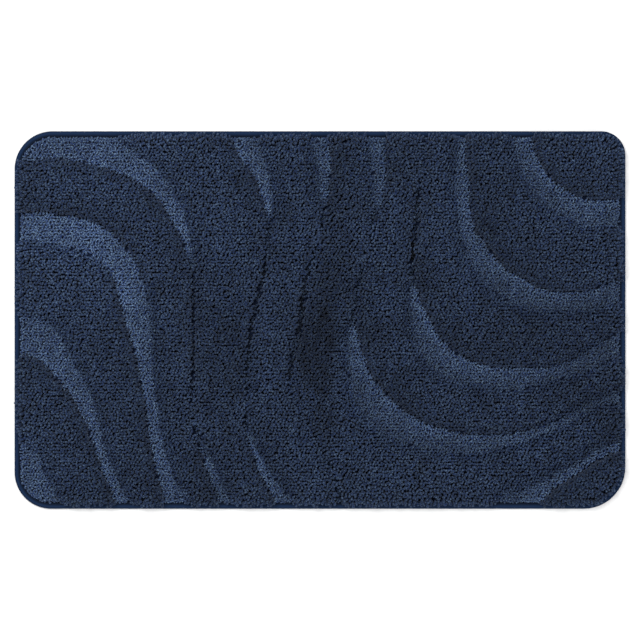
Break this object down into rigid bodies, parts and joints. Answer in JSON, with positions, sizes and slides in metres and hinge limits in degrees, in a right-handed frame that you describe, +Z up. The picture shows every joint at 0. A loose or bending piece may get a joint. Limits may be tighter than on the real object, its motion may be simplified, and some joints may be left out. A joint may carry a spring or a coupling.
{
  "type": "bath mat",
  "caption": "Rectangular tufted bath mat with rounded corners, raised and low waves of navy pile, a taped edge and an anti-slip underside.",
  "frame": {"origin": "on the floor, under the middle of the mat", "axes": "+X along the long side, +Y across the mat, +Z up, with the pile on top"},
  "size_m": [0.805, 0.4974, 0.02],
  "materials": {
    "cut_pile": "cut microfibre pile, matt with soft sheen",
    "loop_pile": "looped microfibre pile, matt with soft sheen",
    "binding_tape": "woven polyester tape, slight sheen",
    "sewing_thread": "twisted polyester thread, slight sheen",
    "woven_cloth": "woven polypropylene cloth, matt",
    "latex": "brushed latex coat, satin",
    "rubber_backing": "soft rubber with small raised grip dots, matt",
    "satin_label": "blank satin ribbon"
  },
  "bodies": {
    "root": {"anti_slip_backing": "rubber_backing", "binding_tape": "binding_tape", "bobbin_stitches": "sewing_thread", "care_label": "satin_label", "latex_precoat": "latex", "low_wave_01": "loop_pile", "low_wave_02": "loop_pile", "low_wave_03": "loop_pile", "low_wave_04": "loop_pile", "low_wave_05": "loop_pile", "low_wave_06": "loop_pile", "low_wave_07": "loop_pile", "low_wave_08": "loop_pile", "low_wave_09": "loop_pile", "low_wave_10": "loop_pile", "low_wave_11": "loop_pile", "needle_stitches": "sewing_thread", "pressed_pile_edge": "cut_pile", "primary_cloth": "woven_cloth", "raised_wave_01": "cut_pile", "raised_wave_02": "cut_pile", "raised_wave_03": "cut_pile", "raised_wave_04": "cut_pile", "raised_wave_05": "cut_pile", "raised_wave_06": "cut_pile", "raised_wave_07": "cut_pile", "raised_wave_08": "cut_pile", "raised_wave_09": "cut_pile", "raised_wave_10": "cut_pile", "raised_wave_11": "cut_pile"}
  },
  "joints": []
}
